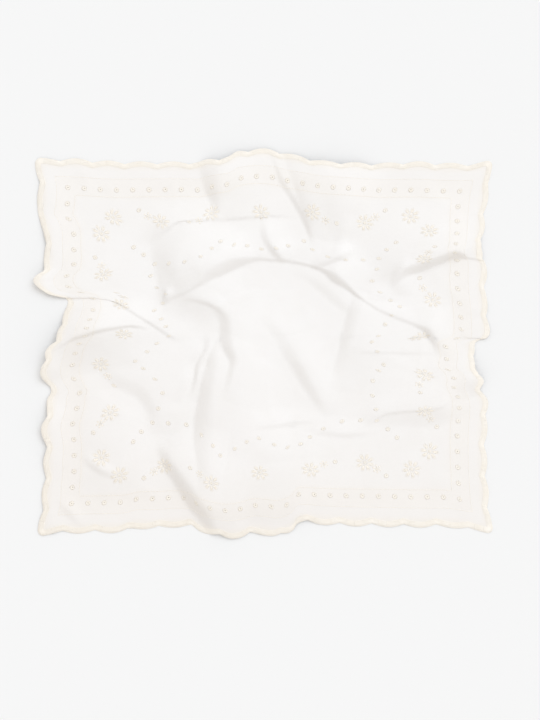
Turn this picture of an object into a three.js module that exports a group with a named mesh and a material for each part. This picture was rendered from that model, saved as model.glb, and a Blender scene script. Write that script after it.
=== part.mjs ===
// Foulard: a square of embroidered cotton with a scalloped edge, lying crumpled on a surface.
// Millimetres, +Z up. The plan is the view from above, with +Y away from the viewer.
import * as THREE from "three";

// ---------------------------------------------------------------- driving dimensions
const CLOTH_SIDE = 600;          // the finished square, measured flat
const THICKNESS = 1;             // cloth and embroidery together, as one solid sheet
const SCALLOP_COUNT = 13;        // whole scallops along each side, between the two corner ones
const CORNER_SCALLOP = 32;       // what a corner scallop takes of each of its two sides
const SCALLOP_DEPTH = 5;         // how far the notches between scallops cut in
// Faces along each scallop of a side, corner ones included: along X, and along Y, where the band
// that is folded over has finer faces.
const CELLS_ALONG_X = [3, 3, 3, 3, 3, 3, 3, 3, 3, 3, 3, 3, 3, 3, 3];
const CELLS_ALONG_Y = [2, 2, 2, 3, 3, 3, 3, 5, 5, 5, 5, 5, 2, 2, 2];
const PLAN_CENTRE = { x: -9.9, y: 3.3 }; // middle of the lying cloth, which is the part's origin

const PLAN_STEPS = 150;          // samples along each side when the cloth is measured
const PATH_STEPS = 6;            // samples between two stations of a fold or an edge
const INVERT_ROUNDS = 14;        // rounds that find the place of a point of the flat cloth
const CREST_RADIUS = 0.12;       // rounding of a crest, as a share of the fold's width
const EVEN_STEPS = 9;            // samples to each side that a measured row is averaged with
const SPARE_EVERYWHERE = 0.4;    // how evenly the cloth that folds hide is spread
const SPARE_PER_HIGH = 0.5;      // cloth hidden by a fold's height, next to that of its lean

const COTTON = { color: 0xf4f3ec, roughness: 0.95, metalness: 0 };

// ---------------------------------------------------------------- outline as it lies
// Each edge of the lying cloth: [place along the edge, place across it], from one corner on.
const EDGES = {
  left: [
    [-240, -289], [-205, -280], [-185, -284], [-150, -283], [-118, -283], [-98, -291], [-70, -280],
    [-55, -277], [-20, -288], [0, -280], [8, -268], [35, -257], [60, -254], [74, -257], [84, -272],
    [92, -292], [102, -301], [114, -291], [128, -283], [150, -281], [170, -287], [205, -288],
    [240, -290],
  ],
  right: [
    [-238, 290], [-200, 282], [-165, 278], [-140, 283], [-115, 275], [-85, 284], [-60, 283],
    [-40, 276], [-10, 270], [15, 269], [30, 277], [60, 281], [90, 276], [120, 272], [150, 274],
    [185, 281], [215, 281], [238, 289],
  ],
  top: [
    [-290, 239], [-200, 237], [-100, 236], [-75, 238], [-45, 246], [-20, 253], [5, 251], [30, 246],
    [50, 240], [90, 238], [200, 236], [289, 238],
  ],
  bottom: [
    [-289, -240], [-200, -234], [-100, -227], [-75, -234], [-50, -246], [-25, -240], [0, -241],
    [25, -237], [45, -225], [100, -226], [200, -230], [290, -238],
  ],
};

// ---------------------------------------------------------------- folds
// A fold is a ridge along its stations. Its front is on the right-hand side of the way along it.
// crest: 1 is a sharp crease along the top, 2 a round one. foot: 1 is a crisp foot, 2 a soft one.
// Stations: [x, y, high, front, back, lean]. x and y are where the crest shows from above, high is
// its height, front and back are the widths of its two slopes, and lean is how far the crest is
// pushed to the front. A lean greater than the front makes a lip that overhangs.
const FOLDS = [
  {
    name: "left lip", crest: 1.6, foot: 1.6,
    stations: [
      [-318, 92, 8, 10, 90, 16],
      [-285, 70, 8, 10, 90, 15],
      [-255, 64, 7.5, 11, 90, 13],
      [-215, 62, 7, 10, 80, 13],
      [-190, 57, 6, 10, 70, 10],
      [-170, 46, 5, 10, 55, 7],
      [-145, 30, 3.5, 9, 40, 4],
      [-115, 10, 0, 7, 30, 0],
    ],
  },
  {
    name: "arc lip", crest: 1.5, foot: 1.8,
    stations: [
      [-138, 54, 0, 7, 20, 0],
      [-104, 70, 5, 8, 30, 6],
      [-80, 82, 9, 11, 45, 10],
      [-58, 99, 12, 14, 60, 12],
      [-30, 110, 10, 13, 60, 12],
      [5, 113, 7, 10, 50, 10],
      [36, 111, 6, 9, 45, 9],
      [62, 104, 7, 9, 40, 10],
      [84, 95, 11, 10, 40, 12],
      [104, 86, 12, 11, 40, 13],
      [122, 63, 9, 10, 40, 11],
      [145, 49, 7, 10, 40, 9],
      [172, 38, 5.5, 9, 40, 8],
      [196, 29, 6, 9, 38, 8],
      [213, 22, 8, 9, 30, 9],
      [224, 2, 5, 9, 20, 5],
      [226, -12, 0, 8, 20, 0],
    ],
  },
  {
    name: "top bulge", crest: 2, foot: 1.6,
    stations: [
      [-56, 262, 12, 30, 95, 0],
      [-54, 215, 12, 30, 95, 0],
      [-52, 185, 10, 28, 90, 0],
      [-56, 160, 5, 24, 70, 0],
      [-60, 140, 0, 24, 50, 0],
    ],
  },
  {
    name: "bulge side", crest: 1.6, foot: 1,
    stations: [
      [92, 262, 9, 85, 40, 0],
      [90, 222, 10, 68, 40, 0],
      [84, 190, 9, 42, 36, 0],
      [76, 166, 5, 24, 30, 0],
      [68, 138, 0, 10, 25, 0],
    ],
  },
  {
    name: "collar crease", crest: 1.5, foot: 1.5,
    stations: [
      [-143, 140, 0, 8, 20, 0],
      [-126, 152, 5, 8, 30, 6],
      [-108, 160, 3, 5, 26, 5],
      [-60, 162, 2.5, 5, 24, 5],
      [-20, 165, 3, 5, 24, 5],
      [10, 167, 3, 5, 22, 5],
      [44, 168, 0, 5, 15, 0],
    ],
  },
  {
    name: "pillow side", crest: 1.7, foot: 1.6,
    stations: [
      [-96, 164, 3, 36, 60, 0],
      [-106, 130, 7, 40, 80, 0],
      [-114, 95, 7, 34, 80, 0],
      [-126, 68, 0, 25, 50, 0],
    ],
  },
  {
    name: "right lip", crest: 1.5, foot: 1.6,
    stations: [
      [157, 66, 0, 9, 25, 0],
      [163, 90, 5, 9, 30, 4],
      [174, 102, 6, 9, 35, 6],
      [194, 107, 7, 10, 40, 9],
      [217, 113, 8, 10, 40, 9],
      [243, 122, 8, 10, 40, 9],
      [259, 115, 3, 8, 30, 4],
      [276, 112, 2, 8, 26, 3],
      [296, 111, 2, 8, 26, 3],
    ],
  },
  {
    name: "right panel side", crest: 1.6, foot: 1.1,
    stations: [
      [128, 60, 4, 20, 80, 0],
      [124, 40, 7, 24, 90, 0],
      [114, 14, 6, 20, 90, 0],
      [104, -26, 0, 14, 60, 0],
    ],
  },
  {
    name: "slanting ridge", crest: 1.6, foot: 1.3,
    stations: [
      [10, 44, 0, 20, 40, 0],
      [34, 16, 5, 24, 50, 0],
      [58, -22, 8, 26, 45, 0],
      [80, -54, 7, 22, 34, 0],
      [98, -82, 0, 16, 25, 0],
    ],
  },
  {
    name: "knee", crest: 1.6, foot: 1.2,
    stations: [
      [-58, 56, 0, 14, 50, 0],
      [-42, 34, 8, 18, 70, 0],
      [-40, 4, 9, 18, 75, 0],
      [-34, -18, 7, 14, 70, 0],
      [-42, -44, 4, 12, 50, 0],
      [-50, -68, 0, 12, 40, 0],
    ],
  },
  {
    name: "long side", crest: 1.8, foot: 1.1,
    stations: [
      [-50, 10, 0, 10, 50, 0],
      [-60, -26, 9, 16, 70, 0],
      [-62, -60, 12, 22, 90, 0],
      [-62, -100, 12, 28, 95, 0],
      [-62, -132, 9, 28, 90, 0],
      [-68, -168, 3, 22, 70, 0],
      [-72, -190, 0, 18, 60, 0],
    ],
  },
  {
    name: "facet top", crest: 1.5, foot: 1.6,
    stations: [
      [-116, 56, 0, 20, 20, 0],
      [-84, 60, 4, 34, 22, 0],
      [-60, 54, 5, 34, 20, 0],
      [-44, 38, 0, 20, 20, 0],
    ],
  },
  {
    name: "bottom ridge", crest: 1.7, foot: 1.6,
    stations: [
      [-134, -122, 0, 16, 40, 0],
      [-118, -144, 9, 20, 50, 2],
      [-92, -174, 16, 25, 70, 3],
      [-72, -204, 20, 28, 85, 3],
      [-48, -252, 20, 30, 90, 0],
    ],
  },
  {
    name: "second bottom ridge", crest: 1.7, foot: 1.3,
    stations: [
      [0, -150, 0, 20, 50, 0],
      [6, -190, 4, 26, 60, 0],
      [14, -225, 7, 26, 55, 0],
      [18, -256, 7, 26, 50, 0],
    ],
  },
  {
    name: "lower left crease", crest: 1.5, foot: 1.6,
    stations: [
      [-272, -6, 2, 14, 30, 0],
      [-244, 13, 4, 14, 30, 1],
      [-214, 22, 4, 14, 30, 1],
      [-168, 27, 3, 14, 30, 0],
      [-136, 18, 0, 12, 24, 0],
    ],
  },
  {
    name: "lower left slope", crest: 1.6, foot: 1.4,
    stations: [
      [-300, 6, 4, 55, 30, 0],
      [-240, 10, 6, 60, 30, 0],
      [-190, 12, 6, 60, 30, 0],
      [-140, 4, 3, 60, 30, 0],
      [-110, -10, 0, 40, 30, 0],
    ],
  },
  {
    name: "diagonal slope", crest: 1.6, foot: 1.4,
    stations: [
      [-214, -8, 0, 20, 40, 0],
      [-186, -32, 4, 22, 60, 0],
      [-152, -50, 6, 22, 60, 0],
      [-136, -80, 5, 18, 50, 0],
      [-136, -112, 0, 14, 40, 0],
    ],
  },
  {
    name: "hollow side", crest: 2, foot: 1.8,
    stations: [
      [-200, -56, 0, 45, 40, 0],
      [-196, -90, 4, 50, 40, 0],
      [-190, -124, 0, 45, 40, 0],
    ],
  },
  {
    name: "right low fold", crest: 1.5, foot: 1.3,
    stations: [
      [134, -99, 0, 14, 30, 0],
      [146, -88, 4, 18, 50, 0],
      [162, -82, 5, 22, 60, 0],
      [200, -79, 6, 24, 65, 0],
      [226, -72, 7, 30, 65, 0],
      [244, -60, 7, 38, 60, 0],
      [266, -46, 6, 48, 60, 0],
      [300, -38, 6, 50, 50, 0],
    ],
  },
  {
    name: "left edge wave", crest: 1.8, foot: 1.6,
    stations: [
      [-312, -22, 6, 30, 34, 0],
      [-286, -20, 4, 30, 34, 0],
      [-246, -14, 0, 28, 30, 0],
    ],
  },
  {
    name: "lower left edge wave", crest: 1.8, foot: 1.6,
    stations: [
      [-312, -98, 7, 28, 30, 0],
      [-286, -100, 5, 28, 30, 0],
      [-250, -108, 0, 26, 28, 0],
    ],
  },
];

// ---------------------------------------------------------------- curves through stations
// A Catmull-Rom curve through rows of numbers, column by column.
function smoothRows(rows) {
  const mirrored = (row, about) => about.map((value, k) => 2 * value - row[k]);
  const points = [
    mirrored(rows[1], rows[0]), ...rows, mirrored(rows.at(-2), rows.at(-1)),
  ];
  const smooth = [];
  for (let i = 1; i < points.length - 2; i++) {
    const [before, from, to, after] = points.slice(i - 1, i + 3);
    for (let step = 0; step < PATH_STEPS; step++) {
      const t = step / PATH_STEPS;
      smooth.push(from.map((value, k) => 0.5 * (2 * value
        + (to[k] - before[k]) * t
        + (2 * before[k] - 5 * value + 4 * to[k] - after[k]) * t * t
        + (3 * value - before[k] - 3 * to[k] + after[k]) * t * t * t)));
    }
  }
  smooth.push(rows.at(-1));
  return smooth;
}

// The line that a fold rises from: its crest moved back by its lean, with the way to its front.
function foldLine(fold) {
  const rows = smoothRows(fold.stations);
  return rows.map(([x, y, high, front, back, lean], i) => {
    const before = rows[Math.max(i - 1, 0)];
    const after = rows[Math.min(i + 1, rows.length - 1)];
    const along = Math.hypot(after[0] - before[0], after[1] - before[1]);
    const frontX = (after[1] - before[1]) / along;
    const frontY = -(after[0] - before[0]) / along;
    const push = Math.max(lean, 0);
    return {
      x: x - frontX * push, y: y - frontY * push, frontX, frontY,
      high: Math.max(high, 0), front, back, lean: push,
    };
  });
}

// The height of a slope, from 1 at the crest to 0 at the foot and past it.
function slope(share, fold) {
  const reach = Math.min(share, 1);
  const rounded = (Math.hypot(reach, CREST_RADIUS) - CREST_RADIUS)
    / (Math.hypot(1, CREST_RADIUS) - CREST_RADIUS);
  return Math.max(1 - rounded ** fold.crest, 0) ** fold.foot;
}

// The nearest place on a fold's line, and how far in front of it the point is.
function nearestOnLine(line, x, y) {
  let nearest = null;
  for (let i = 0; i < line.length - 1; i++) {
    const from = line[i];
    const to = line[i + 1];
    const wayX = to.x - from.x;
    const wayY = to.y - from.y;
    const along = ((x - from.x) * wayX + (y - from.y) * wayY) / (wayX * wayX + wayY * wayY);
    const t = Math.min(Math.max(along, 0), 1);
    const offX = x - from.x - t * wayX;
    const offY = y - from.y - t * wayY;
    const distance = Math.hypot(offX, offY);
    if (!nearest || distance < nearest.distance) {
      const inFront = wayY * offX - wayX * offY >= 0;
      nearest = { from, to, t, distance, ahead: inFront ? distance : -distance };
    }
  }
  return nearest;
}

const lines = FOLDS.map((fold) => ({ fold, line: foldLine(fold) }));

// What all folds together do to a point of the plan: the shift, the height, and the cloth that
// they hide along X and along Y.
function foldedShift(x, y) {
  const shift = { x: 0, y: 0, high: 0, spareX: 0, spareY: 0 };
  for (const { fold, line } of lines) {
    const { from, to, t, ahead } = nearestOnLine(line, x, y);
    const mix = (name) => from[name] * (1 - t) + to[name] * t;
    const rise = slope(ahead >= 0 ? ahead / mix("front") : -ahead / mix("back"), fold);
    const turn = Math.hypot(mix("frontX"), mix("frontY"));
    const frontX = mix("frontX") / turn;
    const frontY = mix("frontY") / turn;
    shift.x += frontX * mix("lean") * rise;
    shift.y += frontY * mix("lean") * rise;
    shift.high += mix("high") * rise;
    const spare = (mix("lean") + SPARE_PER_HIGH * mix("high")) * rise;
    shift.spareX += spare * frontX * frontX;
    shift.spareY += spare * frontY * frontY;
  }
  return shift;
}

// ---------------------------------------------------------------- the plan
const edgeRows = Object.fromEntries(
  Object.entries(EDGES).map(([name, rows]) => [name, smoothRows(rows)]));

function edgePoint(name, share) {
  const rows = edgeRows[name];
  const [first, last] = [rows[0][0], rows.at(-1)[0]];
  const along = first + (last - first) * share;
  let i = 0;
  while (i < rows.length - 2 && rows[i + 1][0] < along) i++;
  const t = (along - rows[i][0]) / (rows[i + 1][0] - rows[i][0]);
  const across = rows[i][1] + (rows[i + 1][1] - rows[i][1]) * t;
  const upright = name === "left" || name === "right";
  return upright ? { x: across, y: along } : { x: along, y: across };
}

// A point of the plan, stretched evenly between its four edges. a and b run from 0 to 1.
function planPoint(a, b) {
  const left = edgePoint("left", b);
  const right = edgePoint("right", b);
  const bottom = edgePoint("bottom", a);
  const top = edgePoint("top", a);
  const corners = [edgePoint("left", 0), edgePoint("right", 0), edgePoint("left", 1), edgePoint("right", 1)];
  const blend = (axis) => (1 - a) * left[axis] + a * right[axis]
    + (1 - b) * bottom[axis] + b * top[axis]
    - (1 - a) * (1 - b) * corners[0][axis] - a * (1 - b) * corners[1][axis]
    - (1 - a) * b * corners[2][axis] - a * b * corners[3][axis];
  return { x: blend("x"), y: blend("y") };
}

// The middle of the cloth's thickness at a point of the plan.
function lyingPoint(a, b) {
  const { x, y } = planPoint(a, b);
  const shift = foldedShift(x, y);
  const place = new THREE.Vector3(
    x + shift.x - PLAN_CENTRE.x, y + shift.y - PLAN_CENTRE.y, THICKNESS / 2 + shift.high);
  return { place, shift };
}

// ---------------------------------------------------------------- measuring the cloth
// Lengths along every sampled row and column of the plan, in cloth: the way over the folds, plus
// the cloth hidden in them, so that each row and column has the whole side of the square.
function measureCloth() {
  const samples = [];
  for (let i = 0; i <= PLAN_STEPS; i++) {
    samples.push([]);
    for (let j = 0; j <= PLAN_STEPS; j++) samples[i].push(lyingPoint(i / PLAN_STEPS, j / PLAN_STEPS));
  }
  const measure = (sampleAt, spareName) => {
    const lengths = [0];
    const spares = [0];
    for (let k = 1; k <= PLAN_STEPS; k++) {
      const window = Math.sin(Math.PI * (k - 0.5) / PLAN_STEPS) ** 2;
      const spare = (sampleAt(k).shift[spareName] + SPARE_EVERYWHERE) * window;
      lengths.push(lengths[k - 1] + sampleAt(k).place.distanceTo(sampleAt(k - 1).place));
      spares.push(spares[k - 1] + spare);
    }
    const missing = CLOTH_SIDE - lengths.at(-1);
    return lengths.map((length, k) => length + missing * spares[k] / spares.at(-1));
  };
  const rows = [];
  const columns = [];
  for (let k = 0; k <= PLAN_STEPS; k++) {
    rows.push(measure((i) => samples[i][k], "spareX"));
    columns.push(measure((j) => samples[k][j], "spareY"));
  }
  return { rows: evened(rows), columns: evened(columns) };
}

// Each row of lengths averaged with its neighbours, because cloth hardly shears.
function evened(table) {
  return table.map((row, k) => {
    const near = table.slice(Math.max(k - EVEN_STEPS, 0), k + EVEN_STEPS + 1);
    return row.map((_, i) => near.reduce((sum, other) => sum + other[i], 0) / near.length);
  });
}

// The share of the way along a measured row where it reaches a length.
function shareAt(lengths, length) {
  let i = 0;
  while (i < PLAN_STEPS - 1 && lengths[i + 1] < length) i++;
  return (i + (length - lengths[i]) / (lengths[i + 1] - lengths[i])) / PLAN_STEPS;
}

function shareBetween(table, across, length) {
  const place = Math.min(Math.max(across, 0), 1) * PLAN_STEPS;
  const i = Math.min(Math.floor(place), PLAN_STEPS - 1);
  const t = place - i;
  return shareAt(table[i], length) * (1 - t) + shareAt(table[i + 1], length) * t;
}

// Where a point of the flat square lies. u and v are its distances from the left and bottom sides.
function clothPoint(measured, u, v) {
  let a = u / CLOTH_SIDE;
  let b = v / CLOTH_SIDE;
  for (let round = 0; round < INVERT_ROUNDS; round++) {
    a = (a + shareBetween(measured.rows, b, u)) / 2;
    b = (b + shareBetween(measured.columns, a, v)) / 2;
  }
  return lyingPoint(a, b).place;
}

// ---------------------------------------------------------------- the scalloped square
// Places of the grid lines along a side, which has a line at each notch.
function gridLines(cells) {
  const scallop = (CLOTH_SIDE - 2 * CORNER_SCALLOP) / SCALLOP_COUNT;
  const notches = [0];
  for (let k = 0; k <= SCALLOP_COUNT; k++) notches.push(CORNER_SCALLOP + k * scallop);
  notches.push(CLOTH_SIDE);
  const places = cells.flatMap((count, k) => Array.from(
    { length: count }, (_, cell) => notches[k] + (notches[k + 1] - notches[k]) * cell / count));
  return [...places, CLOTH_SIDE];
}

// How far the edge is inside the square at a place along a side: each scallop is round between
// two notches, and each corner has half a scallop.
function scallopInset(place) {
  const fromCorner = Math.min(place, CLOTH_SIDE - place);
  if (fromCorner < CORNER_SCALLOP) {
    return SCALLOP_DEPTH * (1 - Math.cos(Math.PI / 2 * fromCorner / CORNER_SCALLOP));
  }
  const scallop = (CLOTH_SIDE - 2 * CORNER_SCALLOP) / SCALLOP_COUNT;
  return SCALLOP_DEPTH * (1 - Math.abs(Math.sin(Math.PI * (place - CORNER_SCALLOP) / scallop)));
}

function flatGrid() {
  const across = gridLines(CELLS_ALONG_X);
  const upwards = gridLines(CELLS_ALONG_Y);
  return across.map((u) => upwards.map((v) => ({
    u: Math.min(Math.max(u, scallopInset(v)), CLOTH_SIDE - scallopInset(v)),
    v: Math.min(Math.max(v, scallopInset(u)), CLOTH_SIDE - scallopInset(u)),
  })));
}

// ---------------------------------------------------------------- the solid sheet
// Two grids, half the thickness above and below the middle, joined along the edge. Each cell is
// split along its shorter diagonal.
function sheetGeometry() {
  const measured = measureCloth();
  const grid = flatGrid().map((column) => column.map(({ u, v }) => clothPoint(measured, u, v)));
  const lastX = grid.length - 1;
  const lastY = grid[0].length - 1;
  const layer = (lastX + 1) * (lastY + 1);
  const at = (i, j) => i * (lastY + 1) + j;

  const places = grid.flat();
  const middle = [];
  for (let i = 0; i < lastX; i++) {
    for (let j = 0; j < lastY; j++) {
      const [p, q, r, s] = [at(i, j), at(i + 1, j), at(i + 1, j + 1), at(i, j + 1)];
      const shorter = places[p].distanceTo(places[r]) < places[q].distanceTo(places[s]);
      middle.push(...(shorter ? [[p, q, r], [p, r, s]] : [[p, q, s], [q, r, s]]));
    }
  }
  const normals = places.map(() => new THREE.Vector3());
  const [sideOne, sideTwo] = [new THREE.Vector3(), new THREE.Vector3()];
  for (const face of middle) {
    sideOne.subVectors(places[face[1]], places[face[0]]);
    sideTwo.subVectors(places[face[2]], places[face[0]]);
    sideOne.cross(sideTwo).normalize();
    face.forEach((corner) => normals[corner].add(sideOne));
  }
  normals.forEach((normal) => normal.normalize());

  const vertices = [];
  for (const half of [THICKNESS / 2, -THICKNESS / 2]) {
    places.forEach((place, k) => vertices.push(...place.clone().addScaledVector(normals[k], half)));
  }
  const faces = [];
  for (const [p, q, r] of middle) faces.push(p, q, r, p + layer, r + layer, q + layer);
  const rim = [];
  for (let i = 0; i < lastX; i++) rim.push(at(i, 0));
  for (let j = 0; j < lastY; j++) rim.push(at(lastX, j));
  for (let i = lastX; i > 0; i--) rim.push(at(i, lastY));
  for (let j = lastY; j > 0; j--) rim.push(at(0, j));
  rim.forEach((p, k) => {
    const q = rim[(k + 1) % rim.length];
    faces.push(p, p + layer, q + layer, p, q + layer, q);
  });

  const geometry = new THREE.BufferGeometry();
  geometry.setAttribute("position", new THREE.Float32BufferAttribute(vertices, 3));
  geometry.setIndex(faces);
  geometry.computeVertexNormals();
  return geometry;
}

const foulard = new THREE.Mesh(sheetGeometry(), new THREE.MeshStandardMaterial(COTTON));
foulard.name = "foulard";

const part = new THREE.Group();
part.add(foulard);

export default part;
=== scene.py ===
# %% [markdown]
# # A foulard of embroidered cotton, lying loosely crumpled
#
# The real thing is one square of thin cotton, 60 cm on a side. Its edge is cut in scallops and
# overcast with cream thread. Inside the edge run two stitched lines with a row of eyelets between
# them, then sprays of daisies and a festoon of small dots. Nothing else is sewn to it.
#
# The square is described flat, as a maker draws it, and then laid over the folds. Every stitch is
# placed on the flat square first, so it follows the cloth wherever the cloth goes.

# %% The frame
import math

import bpy
import numpy as np
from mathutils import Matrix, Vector


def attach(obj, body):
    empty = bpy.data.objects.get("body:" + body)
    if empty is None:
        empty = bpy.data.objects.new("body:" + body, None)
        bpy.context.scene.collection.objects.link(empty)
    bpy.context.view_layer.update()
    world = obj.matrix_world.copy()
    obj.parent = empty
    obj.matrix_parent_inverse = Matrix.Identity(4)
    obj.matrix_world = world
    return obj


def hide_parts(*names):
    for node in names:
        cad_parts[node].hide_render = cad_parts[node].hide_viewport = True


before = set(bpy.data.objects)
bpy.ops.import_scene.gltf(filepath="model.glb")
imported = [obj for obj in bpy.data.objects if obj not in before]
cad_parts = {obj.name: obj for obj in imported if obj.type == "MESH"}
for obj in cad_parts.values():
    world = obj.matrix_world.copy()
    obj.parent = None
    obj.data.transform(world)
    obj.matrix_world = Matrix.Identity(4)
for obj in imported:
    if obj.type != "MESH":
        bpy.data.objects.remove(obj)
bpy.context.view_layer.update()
MM = 0.001
chance = np.random.default_rng(7)

# %% [markdown]
# ## The camera
#
# The foulard lies on a surface and is seen from straight above. The camera hangs 1.6 m up and has a
# lens that takes in a field 0.92 m high, so thin folds near the sides are hardly slanted.

# %% The camera
CAMERA_OVER = (0.0163, -0.0212)      # x and y, so that the whole cloth is well in the field
CAMERA_HEIGHT = 1.6
FIELD_HEIGHT = 0.923
SENSOR = 36.0
bpy.ops.object.select_all(action="DESELECT")
bpy.ops.object.camera_add(location=(*CAMERA_OVER, CAMERA_HEIGHT), rotation=(0, 0, 0))
camera = bpy.context.object
camera.data.sensor_fit = "VERTICAL"
camera.data.sensor_height = SENSOR
camera.data.sensor_width = SENSOR
camera.data.lens = SENSOR * CAMERA_HEIGHT / FIELD_HEIGHT
bpy.context.scene.camera = camera
print("lens", round(camera.data.lens, 1), "mm")

# %% [markdown]
# ## The square of cotton, flat
#
# All sizes on the flat square are in millimetres, with u from its left side and v from its bottom
# side. The square is divided in 201 cells a side, because then every eyelet of the border falls
# on a corner of four cells, where a hole is easily opened.

# %% Sizes of the flat square
SIDE = 600.0
THICK = 0.4
REST = 0.55                  # how high the middle of the cloth lies, with the stitches under it
CELLS = 201
CELL = SIDE / CELLS
SCALLOPS = 13
CORNER = 32.0                # length of a side that the corner scallop takes
SCALLOP_DEPTH = 4.5
CORNER_ROUND = 8.0
SCALLOP_REACH = 21.0         # depth of cloth over which the cut of the scallops fades out
EYELETS = 26                 # on each side, corners included
EYELET_FIRST = 13            # in cells from the side, and so is the step from one to the next
EYELET_STEP = 7
print("cells of", round(CELL, 2), "mm, eyelets", round(EYELET_STEP * CELL, 1), "mm apart")


# %% How the edge is cut
def scallop_inset(place):
    """How far the edge is cut in at a place along a side: round scallops with pointed notches."""
    painted_shade_falloff = np.minimum(place, SIDE - place)
    corner = SCALLOP_DEPTH * (1 - np.cos(np.pi / 2 * painted_shade_falloff / CORNER))
    one = (SIDE - 2 * CORNER) / SCALLOPS
    along = SCALLOP_DEPTH * (1 - np.abs(np.sin(np.pi * (place - CORNER) / one)))
    return np.where(painted_shade_falloff < CORNER, corner, along)


def cut_edge(u, v):
    """Moves points of the plain square to the square with round corners and scallops."""
    mid = SIDE / 2
    inner = mid - CORNER_ROUND
    p = np.clip((np.abs(u - mid) - inner) / CORNER_ROUND, 0, 1)
    q = np.clip((np.abs(v - mid) - inner) / CORNER_ROUND, 0, 1)
    round_u = inner + CORNER_ROUND * p * np.sqrt(1 - q * q / 2)
    round_v = inner + CORNER_ROUND * q * np.sqrt(1 - p * p / 2)
    u = np.where(p > 0, mid + np.sign(u - mid) * round_u, u)
    v = np.where(q > 0, mid + np.sign(v - mid) * round_v, v)
    from_side = np.minimum(u, SIDE - u)
    from_end = np.minimum(v, SIDE - v)
    move_u = scallop_inset(v) * np.clip(1 - from_side / SCALLOP_REACH, 0, 1) * np.sign(mid - u)
    move_v = scallop_inset(u) * np.clip(1 - from_end / SCALLOP_REACH, 0, 1) * np.sign(mid - v)
    return u + move_u, v + move_v


# %% [markdown]
# ## How the foulard lies
#
# Crumpled cotton shows long soft ridges, and creases with a dark line where one layer laps over the
# next. Each is written as a ridge along a few stations: where its crest shows from above, how high
# it stands, how wide its front and back slopes are, and how far its crest leans to the front. The
# lean pushes the cloth forward over the front slope and makes it a steep lip. No lip hangs over
# here, and from above a steep front gives the dark line too. A sheet written this way stays under
# control, while a sheet dropped by simulation would fall in other folds at each change.
#
# Units are millimetres again, x to the right and y away from the viewer.

# %% The outline as it lies
PLAN_CENTRE = (-9.9, 3.3)
OUTLINE = {
    "left": [
        (-243, -291), (-222, -290), (-205, -286), (-180, -285), (-165, -283), (-150, -283),
        (-130, -282), (-115, -284), (-103, -285), (-92, -282), (-80, -279), (-68, -278),
        (-59, -275), (-50, -280), (-40, -285), (-28, -285), (-15, -281), (-6, -278), (2, -273),
        (8, -268), (14, -265), (26, -263), (38, -258), (50, -255), (57, -256), (63, -258),
        (68, -266), (74, -284), (80, -291), (87, -294), (93, -292), (98, -287), (103, -283),
        (116, -282), (130, -283), (145, -283), (155, -286), (163, -290), (170, -294), (179, -292),
        (190, -291), (205, -291), (222, -294), (241, -294)],
    "right": [
        (-240, 292), (-217, 290), (-200, 287), (-165, 285), (-140, 284), (-115, 284), (-85, 286),
        (-70, 285), (-55, 278), (-45, 279), (-36, 276), (-28, 268), (-12, 270), (2, 268), (7, 273),
        (12, 286), (30, 287), (60, 284), (90, 284), (110, 283), (125, 277), (135, 279), (160, 282),
        (178, 284), (200, 287), (213, 290), (238, 291)],
    "top": [
        (-294, 241), (-245, 240), (-200, 237), (-150, 236), (-100, 236), (-84, 236), (-72, 239),
        (-52, 241), (-44, 243), (-34, 249), (-15, 252), (5, 252), (18, 250), (32, 246), (48, 242),
        (70, 237), (95, 235), (140, 234), (180, 236), (205, 236), (220, 235), (260, 234),
        (291, 238)],
    "bottom": [
        (-291, -243), (-255, -240), (-200, -239), (-180, -238), (-165, -234), (-140, -234),
        (-118, -232), (-96, -232), (-84, -237), (-66, -242), (-48, -246), (-30, -245), (-15, -241),
        (2, -242), (15, -244), (28, -241), (36, -235), (44, -226), (70, -228), (100, -230),
        (150, -231), (200, -232), (235, -232), (262, -236), (292, -240)],
}

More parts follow.
